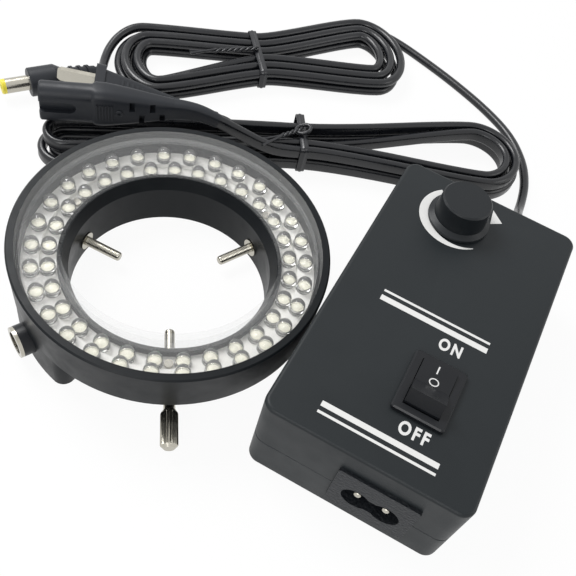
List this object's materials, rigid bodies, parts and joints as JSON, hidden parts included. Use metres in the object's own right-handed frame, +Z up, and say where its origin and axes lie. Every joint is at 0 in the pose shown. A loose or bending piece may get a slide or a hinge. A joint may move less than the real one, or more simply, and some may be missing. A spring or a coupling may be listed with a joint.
{
  "type": "microscope ring light",
  "caption": "Microscope ring light with round clear lamps behind a flat cover, thumbscrew clamps and a power jack, beside its charcoal dimmer box, folded power cord and mains lead with plugs.",
  "frame": {"origin": "on the ring's axis, at the height of the surface that the ring and the box stand on", "axes": "+Z up along the ring's axis towards the clear cover; +Y along the dimmer box from its mains inlet to its cord outlet; +X from the ring towards the dimmer box"},
  "size_m": [0.2087, 0.2223, 0.0425],
  "materials": {
    "ring_black": "fine moulded satin",
    "clear_plastic": "clear, slightly frosted",
    "white_plastic": "satin",
    "board_green": "lacquered laminate",
    "lamp_clear": "clear epoxy",
    "resistor_black": "satin",
    "steel": "nickel plated",
    "black_plastic": "satin",
    "case_charcoal": "fine moulded grain",
    "switch_black": "semi-gloss",
    "knob_black": "fine moulded grain",
    "cord_black": "soft vinyl sheen",
    "plug_black": "moulded vinyl",
    "tie_black": "vinyl over wire",
    "brass_tip": "yellow collar",
    "board_brown": "laminate",
    "part_yellow": "taped winding",
    "part_black": "sleeved can",
    "glass_tube": "clear",
    "aluminium": "extruded",
    "wire_red": "insulation"
  },
  "bodies": {
    "base": {"ring_housing": "ring_black", "clear_cover": "clear_plastic", "lamp_board": "board_green", "lamp_carrier": "white_plastic", "lamps_outer": "lamp_clear", "lamps_inner": "lamp_clear", "lamp_resistors": "resistor_black", "carrier_screws": "steel", "jack_body": "black_plastic", "jack_ring": "steel", "jack_pin": "steel", "jack_wires": "wire_red", "screw_bushes": "steel", "top_case": "case_charcoal", "bottom_case": "case_charcoal", "case_screws": "steel", "case_pads": "plug_black", "switch_frame": "switch_black", "switch_terminals": "steel", "dimmer_control": "aluminium", "dimmer_nut": "steel", "inlet_body": "black_plastic", "inlet_pins": "steel", "circuit_board": "board_brown", "board_screws": "steel", "transformer": "part_yellow", "capacitors": "part_black", "fuse": "glass_tube", "heat_sink": "aluminium", "transistor": "resistor_black", "inner_wires": "wire_red", "cord_gland": "plug_black", "dc_cord_lead": "cord_black", "dc_cord_hank": "cord_black", "dc_cord_tail": "cord_black", "dc_cord_tie": "tie_black", "dc_plug_shell": "plug_black", "dc_plug_barrel": "steel", "dc_plug_tip": "brass_tip", "connector_lead": "cord_black", "mains_cord_hank": "cord_black", "wall_plug_lead": "cord_black", "mains_cord_tie": "tie_black", "connector_body": "plug_black", "connector_contacts": "steel", "wall_plug_shell": "plug_black", "wall_plug_blades": "steel"},
    "knob": {"dimmer_knob": "knob_black", "dimmer_shaft": "steel"},
    "rocker": {"switch_rocker": "switch_black"},
    "screw_front": {"thumbscrew_shank_front": "steel"},
    "screw_head_front": {"thumbscrew_head_front": "steel"},
    "screw_left": {"thumbscrew_shank_left": "steel"},
    "screw_head_left": {"thumbscrew_head_left": "steel"},
    "screw_back": {"thumbscrew_shank_back": "steel"},
    "screw_head_back": {"thumbscrew_head_back": "steel"}
  },
  "joints": [
    {"name": "dimmer_turn", "type": "hinge", "parent": "base", "child": "knob", "pos_m": [0.0718, 0.055, 0.036], "axis": [0, 0, 1], "range_deg": [-150, 150]},
    {"name": "rocker_tip", "type": "hinge", "parent": "base", "child": "rocker", "pos_m": [0.0861, -0.0092, 0.033], "axis": [1, 0, 0], "range_deg": [0, 30]},
    {"name": "screw_travel_front", "type": "slide", "parent": "base", "child": "screw_front", "axis": [-0.5299, 0.848, 0], "range_m": [-0.012, 0.0065]},
    {"name": "screw_turn_front", "type": "hinge", "parent": "screw_front", "child": "screw_head_front", "pos_m": [0.0265, -0.0424, 0.005], "axis": [-0.5299, 0.848, 0], "range_deg": [-8640, 4680]},
    {"name": "screw_travel_left", "type": "slide", "parent": "base", "child": "screw_left", "axis": [0.9994, 0.0349, 0], "range_m": [-0.012, 0.0065]},
    {"name": "screw_turn_left", "type": "hinge", "parent": "screw_left", "child": "screw_head_left", "pos_m": [-0.04997, -0.00175, 0.005], "axis": [0.9994, 0.0349, 0], "range_deg": [-8640, 4680]},
    {"name": "screw_travel_back", "type": "slide", "parent": "base", "child": "screw_back", "axis": [-0.4695, -0.8829, 0], "range_m": [-0.012, 0.0065]},
    {"name": "screw_turn_back", "type": "hinge", "parent": "screw_back", "child": "screw_head_back", "pos_m": [0.02347, 0.04415, 0.005], "axis": [-0.4695, -0.8829, 0], "range_deg": [-8640, 4680]}
  ],
  "couplings": [
    {"joint": "screw_turn_front", "follows": "screw_travel_front", "rad_per_m": 12566},
    {"joint": "screw_turn_left", "follows": "screw_travel_left", "rad_per_m": 12566},
    {"joint": "screw_turn_back", "follows": "screw_travel_back", "rad_per_m": 12566}
  ]
}
